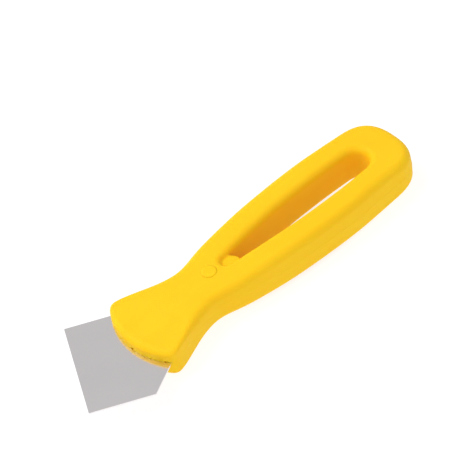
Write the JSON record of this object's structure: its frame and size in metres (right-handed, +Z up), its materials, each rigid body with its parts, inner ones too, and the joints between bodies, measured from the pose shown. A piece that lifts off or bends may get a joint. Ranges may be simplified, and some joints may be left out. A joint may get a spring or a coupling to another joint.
{
  "type": "painters scraper multi tool",
  "caption": "Small scraper with a skewed, flared steel blade locked by a pin in a moulded handle that has a long finger and hanging slot.",
  "frame": {"origin": "on the handle's centre plane, halfway along the tool's overall length, level with the flat of the handle's back face that it lies on", "axes": "+X along the tool towards the hanging end, -X towards the blade; +Y across the tool towards the blade's set-back corner; +Z up, out of the front face"},
  "size_m": [0.147, 0.044, 0.0151],
  "materials": {
    "handle": "satin moulded polypropylene, yellow",
    "blade": "fine satin ground steel",
    "lock_pin": "satin moulded polypropylene, yellow"
  },
  "bodies": {
    "root": {"handle": "handle", "blade": "blade", "lock_pin": "lock_pin"}
  },
  "joints": []
}
